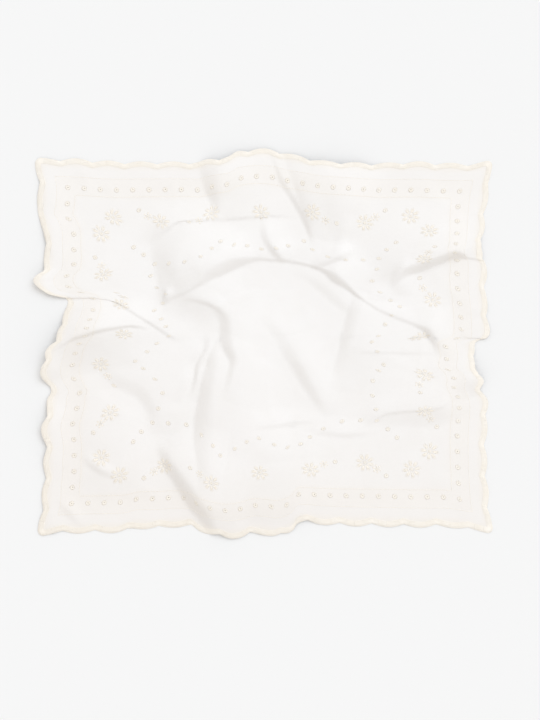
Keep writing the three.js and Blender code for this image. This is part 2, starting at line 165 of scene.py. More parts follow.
# %% The folds
# name: crest (1 sharp, 2 round), foot (1 crisp, 2 soft), stations of x, y, high, front, back, lean.
# The front is on the right-hand side of the way along the stations.
FOLDS = {
    "left lip": (1.6, 1.6, [
        (-330, 71, 0, 8, 50, 2), (-308, 71, 0.3, 8, 50, 3), (-294, 70, 1.2, 9, 55, 4),
        (-282, 68, 2.8, 9, 60, 5), (-266, 65, 3.4, 8, 65, 5), (-252, 63, 2.8, 5, 80, 3),
        (-215, 62, 2.4, 4, 80, 2), (-190, 57, 2.4, 4, 70, 2), (-170, 46, 2.8, 5, 55, 2),
        (-145, 30, 3, 5, 40, 2), (-125, 17, 2.2, 5, 34, 1), (-108, 6, 0, 5, 26, 0)]),
    "left lobe roll": (1.6, 1.4, [
        (-281, 114, 0, 10, 18, 0), (-284, 104, 3.6, 14, 22, 0), (-291, 96, 7.4, 18, 28, 0),
        (-295, 88, 8.4, 18, 30, 0), (-293, 79, 6.4, 16, 28, 0), (-284, 72, 3.6, 13, 22, 0),
        (-272, 66, 1.4, 10, 16, 0), (-260, 62, 0, 8, 12, 0)]),
    "arc lip": (1.3, 1.1, [
        (-138, 54, 0, 4, 16, 0), (-120, 62, 1.2, 3.5, 24, 0), (-104, 69, 1.8, 3.5, 30, 0),
        (-92, 76, 2.8, 4.5, 34, 0), (-82, 84, 5.5, 7, 36, 0), (-75, 94, 9.5, 13, 38, 0),
        (-66, 102, 13, 18, 40, 0), (-54, 109, 14.5, 20, 42, 1), (-36, 113, 11.5, 14, 45, 1),
        (-14, 115, 4.6, 8, 45, 1), (5, 113, 2.6, 6, 45, 2), (36, 110, 2.4, 6, 40, 2),
        (62, 104, 3.2, 6, 40, 2), (80, 98, 6, 8, 40, 2), (92, 92, 11, 14, 40, 2),
        (104, 82, 8, 10, 40, 2), (122, 64, 3.6, 5.5, 40, 2), (145, 49, 2.6, 6, 40, 2),
        (172, 38, 2.5, 7, 40, 2), (196, 29, 3.2, 8, 38, 3), (211, 22, 7.5, 12, 30, 4),
        (221, 6, 5, 11, 20, 3), (227, -12, 0, 8, 20, 0)]),
    "line below the arc": (1.5, 1.6, [
        (36, 100, 0, 8, 20, 0), (62, 90, 1.8, 12, 26, 0), (88, 70, 3, 14, 26, 0),
        (106, 53, 2, 11, 22, 0), (116, 40, 0, 8, 16, 0)]),
    "top bulge": (1.6, 1.3, [
        (-50, 266, 0, 36, 85, 0), (-50, 244, 6, 38, 85, 0), (-52, 220, 11, 34, 85, 0),
        (-54, 200, 10.5, 27, 80, 0), (-55, 184, 6.5, 15, 70, 0), (-58, 170, 2.5, 9, 50, 0),
        (-61, 154, 0, 8, 40, 0)]),
    "bulge side": (2.1, 1, [
        (93, 266, 0, 72, 50, 0), (92, 246, 3.5, 72, 50, 0), (90, 226, 9.5, 66, 54, 0),
        (88, 208, 13, 58, 60, 0), (84, 188, 13, 44, 60, 0), (76, 164, 7.5, 26, 50, 0),
        (68, 138, 0, 10, 25, 0)]),
    "bulge lip": (1.5, 1.5, [
        (2, 262, 0, 5, 30, 0), (14, 236, 1.2, 5, 30, 1), (25, 212, 4, 8, 30, 1),
        (37, 192, 3.6, 6, 30, 1), (50, 170, 4.6, 7, 25, 1), (58, 148, 2.6, 5, 20, 1),
        (65, 128, 0, 5, 15, 0)]),
    "collar crease": (1.5, 1.4, [
        (-150, 130, 0, 6, 20, 0), (-138, 142, 2.6, 6, 26, 0), (-126, 152, 5, 7, 30, 1),
        (-112, 160, 4, 6, 28, 2), (-94, 161, 2.2, 4, 26, 2), (-60, 162, 1.6, 4, 24, 2),
        (-20, 165, 1.5, 4, 24, 2), (10, 167, 1.4, 4, 22, 2), (44, 168, 0, 4, 15, 0)]),
    "pillow side": (1.35, 1.5, [
        (-74, 186, 0, 16, 40, 0), (-83, 167, 5, 34, 60, 0), (-92, 149, 10, 47, 80, 0),
        (-101, 130, 13, 50, 85, 0), (-106, 110, 14, 48, 85, 0), (-109, 92, 11.5, 40, 80, 0),
        (-117, 76, 6, 25, 55, 0), (-128, 60, 1.5, 14, 30, 0), (-136, 48, 0, 10, 26, 0)]),
    "pillow pocket": (1.4, 1.4, [
        (-124, 75, 0, 4, 8, 0), (-126, 66, 3.6, 5, 9, 2), (-128, 56, 0, 4, 8, 0)]),
    "pillow crease": (1.3, 1.7, [
        (3, 166, 0, 8, 25, 0), (2, 148, 4, 10, 30, 0), (7, 134, 5, 8, 28, 0),
        (16, 122, 6, 7.5, 24, 0), (28, 109, 0, 6, 16, 0)]),
    "shoulder tuck": (1.5, 1.4, [
        (60, 105, 0, 6, 10, 0), (76, 110, 4.5, 8, 12, 1), (90, 116, 6.5, 11, 13, 2),
        (102, 121, 5, 11, 12, 1), (110, 129, 0, 6, 10, 0)]),
    "shoulder dip": (1.6, 1.6, [
        (112, 166, 0, 12, 20, 0), (103, 146, 2.6, 14, 26, 0), (97, 126, 2.2, 12, 22, 0),
        (94, 112, 0, 10, 16, 0)]),
    "right lip": (1.3, 1.1, [
        (150, 58, 0, 6, 30, 0), (158, 76, 2, 6, 40, 1), (168, 94, 8, 13, 70, 1),
        (180, 103, 12, 16, 80, 2), (200, 108, 14, 14, 86, 2), (220, 115, 15, 13, 85, 2),
        (240, 122, 14, 13, 75, 2), (252, 119, 9, 10, 60, 2), (260, 115, 2.4, 5, 40, 2),
        (276, 112, 2, 5, 26, 2), (296, 111, 2, 5, 26, 2)]),
    "lip end": (1.5, 1.4, [
        (184, 112, 0, 8, 20, 0), (176, 98, 4, 13, 26, 0), (172, 82, 5, 14, 26, 0),
        (170, 66, 0, 10, 20, 0)]),
    "right edge lap": (1.5, 1.5, [
        (250, 14, 0, 4, 20, 0), (264, 11, 1.3, 4, 20, 2), (296, 10, 1.6, 4, 20, 3)]),
    "shoulder line": (1.5, 1.5, [
        (122, 70, 0, 8, 14, 0), (146, 67, 2, 10, 14, 0), (178, 67, 0, 8, 14, 0)]),
    "right panel side": (1.5, 1, [
        (132, 68, 0, 16, 50, 0), (126, 50, 7, 17, 80, 0), (118, 24, 8.5, 17, 90, 0),
        (111, 1, 7.5, 15, 80, 0), (106, -14, 5, 13, 80, 0), (101, -32, 2.4, 13, 80, 0),
        (96, -56, 0, 14, 60, 0)]),
    "step line": (1.4, 1.4, [
        (112, -6, 0, 5, 25, 0), (140, -7, 1, 4, 30, 1), (190, -8, 1, 4, 30, 1),
        (228, -7, 0, 5, 25, 0)]),
    "slanting ridge": (1.4, 1.4, [
        (4, 46, 0, 16, 40, 0), (24, 20, 3.4, 17, 44, 0), (45, -16, 6, 17, 36, 0),
        (61, -46, 6, 15, 30, 0), (75, -72, 3, 11, 24, 0), (85, -90, 0, 9, 18, 0)]),
    "knee": (1.5, 1.3, [
        (-58, 56, 0, 14, 50, 0), (-42, 36, 9, 18, 70, 0), (-40, 4, 11, 17, 75, 0),
        (-34, -18, 8, 12, 70, 0), (-41, -44, 4, 9, 50, 0), (-49, -70, 0, 8, 40, 0)]),
    "long side": (1.8, 1.1, [
        (-48, 14, 0, 9, 50, 0), (-56, -8, 6.5, 12, 60, 0), (-60, -32, 11.5, 17, 80, 0),
        (-62, -64, 14, 23, 90, 0), (-62, -100, 13.5, 30, 95, 0), (-62, -128, 10, 29, 90, 0),
        (-64, -152, 5, 20, 80, 0), (-67, -172, 1.6, 14, 60, 0), (-68, -188, 0, 12, 50, 0)]),
    "thin crease": (1.4, 1.5, [
        (-71, 16, 0, 6, 14, 0), (-73, -5, 3.6, 6, 14, 1), (-83, -22, 4.4, 6, 14, 1),
        (-87, -44, 4, 6, 14, 1), (-94, -70, 0, 6, 14, 0)]),
    "strip beside the crease": (1.5, 1.1, [
        (-113, -72, 0, 9, 30, 0), (-104, -46, 3, 10, 36, 0), (-101, -20, 3.5, 10, 36, 0),
        (-91, -2, 3, 10, 36, 0), (-87, 18, 0, 9, 30, 0)]),
    "facet top": (1.5, 1.6, [
        (-132, 56, 0, 20, 20, 0), (-110, 66, 4.5, 42, 46, 0), (-86, 70, 6.5, 48, 52, 0),
        (-64, 60, 6, 42, 40, 0), (-46, 40, 0, 22, 20, 0)]),
    "facet line": (1.5, 1.5, [
        (-106, 62, 0, 5, 12, 0), (-86, 60, 1.8, 6, 14, 1), (-67, 54, 2.6, 6, 14, 1),
        (-54, 45, 2.2, 6, 12, 0), (-46, 34, 0, 5, 10, 0)]),
    "bottom ridge": (1.7, 1.5, [
        (-128, -122, 0, 14, 40, 0), (-114, -145, 12, 22, 50, 2), (-90, -174, 17, 28, 70, 3),
        (-71, -202, 18, 31, 80, 3), (-61, -222, 11, 23, 60, 1), (-55, -240, 4, 16, 40, 0),
        (-52, -256, 0, 14, 40, 0)]),
    "second bottom ridge": (1.8, 1.8, [
        (4, -150, 0, 24, 60, 0), (8, -185, 4, 36, 70, 0), (12, -215, 4, 40, 70, 0),
        (16, -246, 0, 34, 50, 0)]),
    "lower middle slope": (1.6, 1.2, [
        (-46, -138, 0, 60, 40, 0), (-14, -142, 8, 88, 55, 0), (30, -144, 9, 88, 55, 0),
        (70, -144, 4, 80, 50, 0), (120, -140, 0, 70, 40, 0)]),
    "lower left crease": (1.5, 1.4, [
        (-276, -8, 0, 6, 30, 0), (-250, 8, 2.6, 5, 34, 1), (-236, 14, 4.4, 6.5, 34, 1),
        (-214, 21, 4.6, 6.5, 34, 1), (-190, 25, 3.6, 5.5, 34, 1), (-168, 27, 3.2, 4.5, 34, 1),
        (-146, 23, 0, 5, 24, 0)]),
    "lower left slope": (1.2, 1.4, [
        (-304, -10, 3, 44, 16, 0), (-278, -2, 7, 46, 24, 0), (-250, 9, 14, 50, 34, 0),
        (-214, 21, 17.5, 56, 44, 0), (-172, 25, 11, 56, 44, 0), (-138, 16, 4, 50, 30, 0),
        (-110, 0, 0, 40, 30, 0)]),
    "diagonal slope": (1.6, 1.4, [
        (-214, -8, 0, 20, 40, 0), (-186, -32, 4, 22, 60, 0), (-152, -50, 6, 22, 60, 0),
        (-136, -80, 5, 18, 50, 0), (-136, -112, 0, 14, 40, 0)]),
    "hollow side": (2, 1.8, [
        (-200, -56, 0, 45, 40, 0), (-196, -90, 5, 70, 40, 0), (-190, -124, 6.5, 78, 44, 0),
        (-188, -160, 5, 74, 44, 0), (-186, -196, 0, 60, 40, 0)]),
    "small ridge": (1.6, 1.6, [
        (-234, -138, 0, 7, 9, 0), (-212, -155, 3.2, 8, 10, 0), (-184, -167, 0, 7, 9, 0)]),
    "low crease": (1.5, 1.5, [
        (-22, -105, 0, 5, 16, 0), (24, -98, 2.6, 6, 18, 0), (76, -93, 0, 5, 16, 0)]),
    "corner crease": (1.6, 1.6, [
        (-264, -194, 0, 7, 12, 0), (-249, -212, 2.4, 8, 12, 0), (-230, -232, 0, 7, 12, 0)]),
    "second low crease": (1.5, 1.5, [
        (48, -104, 0, 6, 16, 0), (100, -111, 2.6, 7, 18, 0), (146, -107, 0, 6, 14, 0)]),
    "right low fold": (1.5, 1.5, [
        (132, -102, 0, 5, 20, 0), (143, -91, 2.4, 6, 20, 1), (158, -84, 2.2, 5.5, 22, 1),
        (200, -80, 1.6, 5, 24, 1), (222, -76, 1.4, 6, 26, 1), (244, -62, 0, 6, 26, 0)]),
    "right low slope": (1.2, 1.5, [
        (124, -98, 0, 10, 20, 0), (150, -88, 2, 18, 40, 0), (180, -83, 4.5, 22, 50, 0),
        (206, -80, 7, 26, 70, 0), (226, -75, 7.5, 28, 80, 0), (243, -67, 4, 26, 60, 0),
        (260, -58, 0, 20, 40, 0)]),
    "right low corner": (1.3, 1.3, [
        (216, -47, 0, 26, 30, 0), (238, -45, 4, 29, 36, 0), (256, -43, 7.5, 27, 44, 0),
        (270, -41, 7, 23, 44, 0), (284, -39, 4, 20, 40, 0), (300, -38, 0, 20, 40, 0)]),
    "left edge lift": (1.5, 1.5, [
        (-284, 262, 0, 13, 36, 0), (-283, 224, 1.4, 13, 36, 0), (-281, 194, 3, 13, 36, 0),
        (-279, 166, 3, 13, 36, 0), (-274, 142, 4.4, 15, 38, 0), (-272, 120, 3.4, 14, 36, 0),
        (-274, 104, 0, 12, 30, 0)]),
    "lower left edge lift": (1.5, 1.6, [
        (-262, 16, 0, 14, 30, 0), (-272, 3, 3, 16, 32, 0), (-283, -12, 7.5, 18, 36, 0),
        (-287, -32, 8, 18, 38, 0), (-283, -48, 3.4, 14, 34, 0), (-277, -60, 1, 12, 30, 0),
        (-281, -76, 4, 14, 34, 0), (-285, -92, 8.6, 18, 38, 0), (-286, -107, 7.5, 18, 38, 0),
        (-283, -124, 4.6, 18, 38, 0), (-278, -144, 4, 18, 40, 0), (-276, -170, 2, 14, 36, 0),
        (-278, -206, 2.2, 14, 36, 0), (-282, -262, 0, 14, 36, 0)]),
}
print(len(FOLDS), "folds and creases")

# %% Curves through stations
PATH_STEPS = 6
CREST_RADIUS = 0.12          # as a share of the slope
BACK_FOOT = 2.0              # the back of a fold always ends softly
BACK_REACH = 1.25
BLEND = 0.2
HIDDEN = 0.5                 # cloth that a lap would hide, as a share of the height of the fold


def smooth_rows(rows):
    """A smooth curve through rows of numbers, column by column."""
    given = np.array(rows, float)
    points = np.vstack([2 * given[0] - given[1], given, 2 * given[-1] - given[-2]])
    t = (np.arange(PATH_STEPS) / PATH_STEPS)[:, None]
    pieces = []
    for a, b, c, d in zip(points[:-3], points[1:-2], points[2:-1], points[3:]):
        pieces.append(0.5 * (2 * b + (c - a) * t + (2 * a - 5 * b + 4 * c - d) * t ** 2
                             + (3 * b - a - 3 * c + d) * t ** 3))
    return np.vstack(pieces + [given[-1:]])


def slope(share, crest, foot):
    """Height of a slope, from 1 at the crest to 0 at the foot and past it."""
    reach = np.clip(share, 0, 1)
    whole = np.hypot(1, CREST_RADIUS) - CREST_RADIUS
    rounded = (np.hypot(reach, CREST_RADIUS) - CREST_RADIUS) / whole
    return np.maximum(1 - rounded ** crest, 0) ** foot


def fold_effect(fold, x, y):
    """What one fold does to points of the plan: shift in x and y, height, and hidden cloth.

    A point takes the values of the stretch of the fold nearest to it, blended with the other
    stretches that are almost as near, or a bend would leave a scar across the cloth behind it."""
    crest, foot, stations = fold
    rows = smooth_rows(stations)
    rows[:, 2:] = np.maximum(rows[:, 2:], 0)
    way = np.gradient(rows[:, :2], axis=0)
    way /= np.linalg.norm(way, axis=1)[:, None]
    front = np.stack([way[:, 1], -way[:, 0]], 1)
    line = rows[:, :2] - front * rows[:, 5:6]
    values = np.hstack([front, rows[:, 2:]])
    length = np.concatenate([[0], np.cumsum(np.linalg.norm(np.diff(line, axis=0), axis=1))])

    def stretch(i):
        step = line[i + 1] - line[i]
        t = np.clip(((x - line[i, 0]) * step[0] + (y - line[i, 1]) * step[1]) / (step @ step), 0, 1)
        off_x = x - line[i, 0] - t * step[0]
        off_y = y - line[i, 1] - t * step[1]
        return np.hypot(off_x, off_y), t, step[1] * off_x - step[0] * off_y >= 0

    nearest = np.full(x.shape, np.inf)
    ahead, along = np.zeros(x.shape), np.zeros(x.shape)
    for i in range(len(rows) - 1):
        distance, t, in_front = stretch(i)
        closer = distance < nearest
        nearest[closer] = distance[closer]
        ahead[closer] = np.where(in_front, distance, -distance)[closer]
        along[closer] = (length[i] + (length[i + 1] - length[i]) * t)[closer]
    spread = BLEND * np.minimum(nearest, np.minimum(along, length[-1] - along)) + 1
    total = np.zeros(x.shape)
    found = np.zeros((*x.shape, values.shape[1]))
    for i in range(len(rows) - 1):
        distance, t, _ = stretch(i)
        weight = np.exp((nearest - distance) / spread)
        total += weight
        found += weight[..., None] * (values[i] + (values[i + 1] - values[i]) * t[..., None])
    front_x, front_y, high, wide, back, lean = np.moveaxis(found / total[..., None], -1, 0)
    turn = np.maximum(np.hypot(front_x, front_y), 1e-6)
    front_x, front_y = front_x / turn, front_y / turn
    rise = np.where(ahead >= 0, slope(ahead / np.maximum(wide, 1), crest, foot),
                    slope(-ahead / np.maximum(back * BACK_REACH, 1), crest, max(foot, BACK_FOOT)))
    spare = (lean + HIDDEN * high) * rise
    return np.stack([front_x * lean * rise, front_y * lean * rise, high * rise,
                     spare * front_x ** 2, spare * front_y ** 2])


# %% The plan, stretched between its four edges
edge_rows = {name: smooth_rows(rows) for name, rows in OUTLINE.items()}


def edge_point(name, share):
    """The point of one lying edge at a share of the way along it."""
    rows = edge_rows[name]
    along = rows[0, 0] + (rows[-1, 0] - rows[0, 0]) * share
    across = np.interp(along, rows[:, 0], rows[:, 1])
    return (across, along) if name in ("left", "right") else (along, across)


def plan_point(a, b):
    """The point of the plan at shares of the way to the right and up, between the four edges."""
    left, right = edge_point("left", b), edge_point("right", b)
    bottom, top = edge_point("bottom", a), edge_point("top", a)
    ends = [edge_point(name, share) for share in (0.0, 1.0) for name in ("left", "right")]
    return [(1 - a) * left[k] + a * right[k] + (1 - b) * bottom[k] + b * top[k]
            - (1 - a) * (1 - b) * ends[0][k] - a * (1 - b) * ends[1][k]
            - (1 - a) * b * ends[2][k] - a * b * ends[3][k] for k in (0, 1)]


# %% [markdown]
# ## Small creases
#
# Cotton that has been folded away and shaken out keeps faint press lines between its large folds.
# Ninety short ones, each under a millimetre high and placed by chance from a fixed seed, keep the
# flat parts from looking like paper.

# %% Small creases
CREASES = 90
CREASE_PROFILE = 1.6         # between a pointed one at 1 and a round one at 2
# columns: x and y of the middle, turn, half the length, width, height and bend
crease_table = np.column_stack([
    chance.uniform(-290, 290, CREASES), chance.uniform(-240, 240, CREASES),
    chance.uniform(0, np.pi, CREASES), chance.uniform(25, 80, CREASES),
    chance.uniform(4, 11, CREASES), chance.uniform(0.2, 0.7, CREASES),
    chance.uniform(-0.006, 0.006, CREASES)])


def small_creases(x, y):
    """Height of all small creases together over points of the plan."""
    high = np.zeros_like(x)
    for cx, cy, turn, half, wide, rise, bend in crease_table:
        s = (x - cx) * math.cos(turn) + (y - cy) * math.sin(turn)
        c = (y - cy) * math.cos(turn) - (x - cx) * math.sin(turn) - bend * s * s
        ends = np.clip(1 - (s / half) ** 2, 0, 1) ** 2
        high += rise * ends * np.exp(-np.abs(c / wide) ** CREASE_PROFILE)
    return high


# %% The lying cloth over the plan
def lying(a, b):
    """Places of the cloth's middle over shares of the plan, and the cloth hidden there."""
    x, y = plan_point(a, b)
    effect = sum(fold_effect(fold, x, y) for fold in FOLDS.values())
    shift_x, shift_y, high, hidden_x, hidden_y = effect
    high = high + small_creases(x, y)
    x, y = x + shift_x - PLAN_CENTRE[0], y + shift_y - PLAN_CENTRE[1]
    return np.stack([x, y, REST + high], -1), hidden_x, hidden_y


# %% [markdown]
# ## Which thread of the cloth lies where
#
# The cloth can't stretch, so a row of the flat square has to be 600 mm long along the folds too.
# Each row and column is measured over the folds, the cloth that real laps would hide is added, and
# then the place of every point of the flat square is looked up. The eyelets then stay in step
# along each side.

# %% Measuring the cloth
PLAN_STEPS = 150
SPARE_EVERYWHERE = 0.4       # hidden cloth where there is no fold, in small waves
GATHERED = (1.3, 0.45)       # more of it in the last strip at the right and at the top
STRIP = 0.06                 # width of that strip, as a share of the side
EVEN_STEPS = 9               # neighbours on each side that a measured row is averaged with
FINE = 1200
ROUNDS = 14                  # of looking up rows and columns in turn, until both agree


def evened(table):
    """Each measured row averaged with its neighbours, because cloth hardly shears."""
    return np.array([table[max(k - EVEN_STEPS, 0):k + EVEN_STEPS + 1].mean(0)
                     for k in range(len(table))])


def measured(places, spare, gathered):
    """Lengths of cloth along the first axis of sampled places, from 0 to the whole side."""
    steps = np.linalg.norm(np.diff(places, axis=0), axis=-1)
    window = np.sin(np.pi * (np.arange(1, PLAN_STEPS + 1) - 0.5) / PLAN_STEPS)[:, None] ** 2
    strip = (np.arange(PLAN_STEPS) > (1 - STRIP) * PLAN_STEPS)[:, None]
    hidden = np.cumsum((spare[1:] + SPARE_EVERYWHERE) * window + gathered * strip, axis=0)
    length = np.cumsum(steps, axis=0)
    length = length + (SIDE - length[-1]) * hidden / hidden[-1]
    return evened(np.vstack([np.zeros(length.shape[1]), length]).T)


def shares_at(table):
    """For each measured row, the share of the way at evenly spaced lengths."""
    even = np.linspace(0, SIDE, FINE + 1)
    shares = np.linspace(0, 1, PLAN_STEPS + 1)
    return np.array([np.interp(even, row, shares) for row in table])


def look_up(table, across, length):
    """Values of a table of rows at shares across it and lengths along it."""
    r = np.clip(across, 0, 1) * PLAN_STEPS
    c = np.clip(length / SIDE, 0, 1) * FINE
    i, j = np.minimum(r.astype(int), PLAN_STEPS - 1), np.minimum(c.astype(int), FINE - 1)
    r, c = r - i, c - j
    return ((table[i, j] * (1 - r) + table[i + 1, j] * r) * (1 - c)
            + (table[i, j + 1] * (1 - r) + table[i + 1, j + 1] * r) * c)


plan_a, plan_b = np.meshgrid(*[np.linspace(0, 1, PLAN_STEPS + 1)] * 2, indexing="ij")
places, spare_x, spare_y = lying(plan_a, plan_b)
row_shares = shares_at(measured(places, spare_x, GATHERED[0]))
column_shares = shares_at(measured(places.transpose(1, 0, 2), spare_y.T, GATHERED[1]))
steps_x = np.linalg.norm(np.diff(places, axis=0), axis=-1).sum(0)
steps_y = np.linalg.norm(np.diff(places, axis=1), axis=-1).sum(1)
print("rows are", round(steps_x.min()), "to", round(steps_x.max()), "mm long over the folds,",
      "columns", round(steps_y.min()), "to", round(steps_y.max()), "mm")

# %% The lying grid
grid_u, grid_v = np.meshgrid(*[np.linspace(0, SIDE, CELLS + 1)] * 2, indexing="ij")
share_a, share_b = grid_u / SIDE, grid_v / SIDE
for _ in range(ROUNDS):
    share_a = (share_a + look_up(row_shares, share_b, grid_u)) / 2
    share_b = (share_b + look_up(column_shares, share_a, grid_v)) / 2
grid_place, _, _ = lying(share_a, share_b)
grid_up = np.cross(np.gradient(grid_place, axis=0), np.gradient(grid_place, axis=1))
grid_up /= np.linalg.norm(grid_up, axis=-1)[..., None]


def lay(points):
    """Lays points (u, v, height over the middle of the cloth) in mm on the cloth, in metres."""
    points = np.asarray(points, float)
    gu, gv = points[..., 0] / CELL, points[..., 1] / CELL
    i = np.clip(gu.astype(int), 0, CELLS - 1)
    j = np.clip(gv.astype(int), 0, CELLS - 1)
    p, q = (gu - i)[..., None], (gv - j)[..., None]
    mix = lambda g: ((g[i, j] * (1 - p) + g[i + 1, j] * p) * (1 - q)
                     + (g[i, j + 1] * (1 - p) + g[i + 1, j + 1] * p) * q)
    up = mix(grid_up)
    up /= np.linalg.norm(up, axis=-1)[..., None]
    return (mix(grid_place) + up * points[..., 2:3]) * MM


print("the cloth stands", round(grid_place[..., 2].max(), 1), "mm high")

# %% [markdown]
# ## The pattern on the flat square
#
# Broderie anglaise is worked on one side pattern that is repeated on the four sides, and turned
# over at the middle of each. t is the place along a side, d the depth from it.

# %% Where the embroidery goes
def on_side(side, t, d):
    """A point at t along a side and d in from it, as u and v."""
    return [(t, d), (SIDE - d, t), (SIDE - t, SIDE - d), (d, SIDE - t)][side]


def grid_vertex(u, v):
    """The nearest corner of cells, where a hole can be opened."""
    return int(round(u / CELL)), int(round(v / CELL))


border = [EYELET_FIRST + EYELET_STEP * k for k in range(EYELETS)]
eyelets = sorted({(i, j) for k in border for i, j in (
    (k, border[0]), (k, border[-1]), (border[0], k), (border[-1], k))})

# each spray: t and d of its daisy, its small flower and its dot
SPRAYS = [(159, 85, 144, 74, 132, 66), (231, 76, 211, 85, 197, 88)]
CENTRE_DAISY = (300, 88)
CORNER_DAISIES = [(75, 98), (98, 76)]
DOT_LINE = [(115, 115), (129, 129), (142, 143), (163, 147), (187, 148), (211, 142), (229, 132),
            (243, 119), (262, 130), (281, 140), (300, 145)]
daisies, small_flowers, dots = [], [], []
for side in range(4):
    for flip in (False, True):
        turned = lambda t: SIDE - t if flip else t
        for t, d, t2, d2, t3, d3 in SPRAYS:
            daisies.append(grid_vertex(*on_side(side, turned(t), d)))
            small_flowers.append(grid_vertex(*on_side(side, turned(t2), d2)))
            dots.append(grid_vertex(*on_side(side, turned(t3), d3)))
        dots += [grid_vertex(*on_side(side, turned(t), d)) for t, d in DOT_LINE]
    daisies += [grid_vertex(*on_side(side, t, d)) for t, d in [CENTRE_DAISY, *CORNER_DAISIES]]
dots = sorted(set(dots))
print(len(eyelets), "eyelets,", len(daisies), "daisies,", len(small_flowers), "small flowers,",
      len(dots), "dots")

# %% [markdown]
# ## The cloth
#
# The cells become faces, and each hole replaces the four cells around a corner by a ring of eight
# faces. Solidify gives the sheet its thickness, and closes it along the edge and in the holes.

# %% Cloth mesh
FLOWER_HOLE, EYELET_HOLE = 0.5, 0.58          # radii
SHARP_ANGLE = math.radians(50)                # the rim of the sheet is steeper and stays sharp
HOLES = {**dict.fromkeys([*dots, *small_flowers, *daisies], FLOWER_HOLE),
         **dict.fromkeys(eyelets, EYELET_HOLE)}
AROUND = [(1, 0), (1, 1), (0, 1), (-1, 1), (-1, 0), (-1, -1), (0, -1), (1, -1)]


def cloth_pattern():
    """Points (u, v) and faces of the flat cloth with its scalloped edge and its holes."""
    u, v = cut_edge(grid_u, grid_v)
    points = np.stack([u, v], -1).reshape(-1, 2)
    number = np.arange(len(points)).reshape(CELLS + 1, CELLS + 1)
    cells = np.stack([number[:-1, :-1], number[1:, :-1], number[1:, 1:], number[:-1, 1:]], -1)
    keep = np.ones((CELLS, CELLS), bool)
    rings, faces = [], []
    count = len(points)
    for (i, j), radius in HOLES.items():
        keep[i - 1:i + 1, j - 1:j + 1] = False
        outer = [number[i + p, j + q] for p, q in AROUND]
        inner = list(range(count, count + len(AROUND)))
        count += len(AROUND)
        for p, q in AROUND:
            reach = radius / math.hypot(p, q)
            rings.append((i * CELL + p * reach, j * CELL + q * reach))
        for k in range(len(AROUND)):
            n = (k + 1) % len(AROUND)
            faces.append((outer[k], outer[n], inner[n], inner[k]))
    return np.vstack([points, rings]), np.vstack([cells[keep], faces])


def mesh_piece(name, points, faces):
    """A smooth piece from points in metres and faces of four."""
    mesh = bpy.data.meshes.new(name)
    mesh.from_pydata(points.tolist(), [], faces.tolist())
    mesh.polygons.foreach_set("use_smooth", [True] * len(mesh.polygons))
    piece = bpy.data.objects.new(name, mesh)
    bpy.context.scene.collection.objects.link(piece)
    return piece


def flat_uv(piece, coordinates):
    """Gives a piece its place on the flat square as UV, from one (u, v) per vertex."""
    layer = piece.data.uv_layers.new(name="flat")
    corner = np.zeros(len(piece.data.loops), int)
    piece.data.loops.foreach_get("vertex_index", corner)
    layer.data.foreach_set("uv", (coordinates[corner] / SIDE).astype(np.float32).ravel())


def choose(piece):
    bpy.ops.object.select_all(action="DESELECT")
    piece.select_set(True)
    bpy.context.view_layer.objects.active = piece


pattern, cloth_faces = cloth_pattern()
used = np.unique(cloth_faces)
renumber = np.zeros(len(pattern), int)
renumber[used] = np.arange(len(used))
pattern, cloth_faces = pattern[used], renumber[cloth_faces]
middle = lay(np.column_stack([pattern, np.zeros(len(pattern))]))
cloth = mesh_piece("cloth_square", middle, cloth_faces)
flat_uv(cloth, pattern)
choose(cloth)
thickness = cloth.modifiers.new("thickness", "SOLIDIFY")
thickness.thickness = THICK * MM
thickness.offset = 0
bpy.ops.object.modifier_apply(modifier="thickness")
bpy.ops.object.shade_smooth_by_angle(angle=SHARP_ANGLE)
print("cloth:", len(cloth.data.polygons), "faces")

# %% [markdown]
# ## Thread
#
# Every stitch is a short length of thread with four sides. It's laid as a curved path over the
# flat cloth, so thousands of them can be made at once and then laid over the folds together.


# %% Making thread
def threads(paths, sideways, radius, closed=False, flat=0.6):
    """Four-sided tubes. paths (n, k, 3), sideways (n, k or 1, 3), radius one number or (k,).
    flat is their height as a share of their width."""
    n, k, _ = paths.shape
    if closed:
        along = np.roll(paths, -1, 1) - np.roll(paths, 1, 1)
    else:
        along = np.gradient(paths, axis=1)
    along /= np.linalg.norm(along, axis=-1)[..., None]
    side = sideways - (sideways * along).sum(-1, keepdims=True) * along
    side /= np.linalg.norm(side, axis=-1)[..., None]
    up = np.cross(along, side)
    turn = np.arange(4) * np.pi / 2
    ring = side[:, :, None] * np.cos(turn)[:, None] + up[:, :, None] * flat * np.sin(turn)[:, None]
    size = np.broadcast_to(radius, (n, k))
    points = paths[:, :, None] + ring * size[..., None, None]
    number = np.arange(n * k * 4).reshape(n, k, 4)
    nxt = np.roll(number, -1, 2)
    if closed:
        a, b, c, d = number, nxt, np.roll(nxt, -1, 1), np.roll(number, -1, 1)
    else:
        a, b, c, d = number[:, :-1], nxt[:, :-1], nxt[:, 1:], number[:, 1:]
    faces = np.stack([a, b, c, d], -1).reshape(-1, 4)
    if not closed:
        faces = np.vstack([faces, number[:, 0, ::-1], number[:, -1]])
    return points.reshape(-1, 3), faces


def sewn_piece(name, parts):
    """One piece from several sets of stitches, laid on the cloth."""
    points, faces, count = [], [], 0
    for part_points, part_faces in parts:
        points.append(part_points)
        faces.append(part_faces + count)
        count += len(part_points)
    points = np.vstack(points)
    piece = mesh_piece(name, lay(points), np.vstack(faces))
    flat_uv(piece, points[:, :2])
    print(name + ":", len(piece.data.polygons), "faces")
    return piece


# %% [markdown]
# ## The edge
#
# The scallops are worked in buttonhole stitch: close stitches across the edge, each wrapped round
# the raw cloth, with a line of loops along the outside that keeps the edge from fraying.

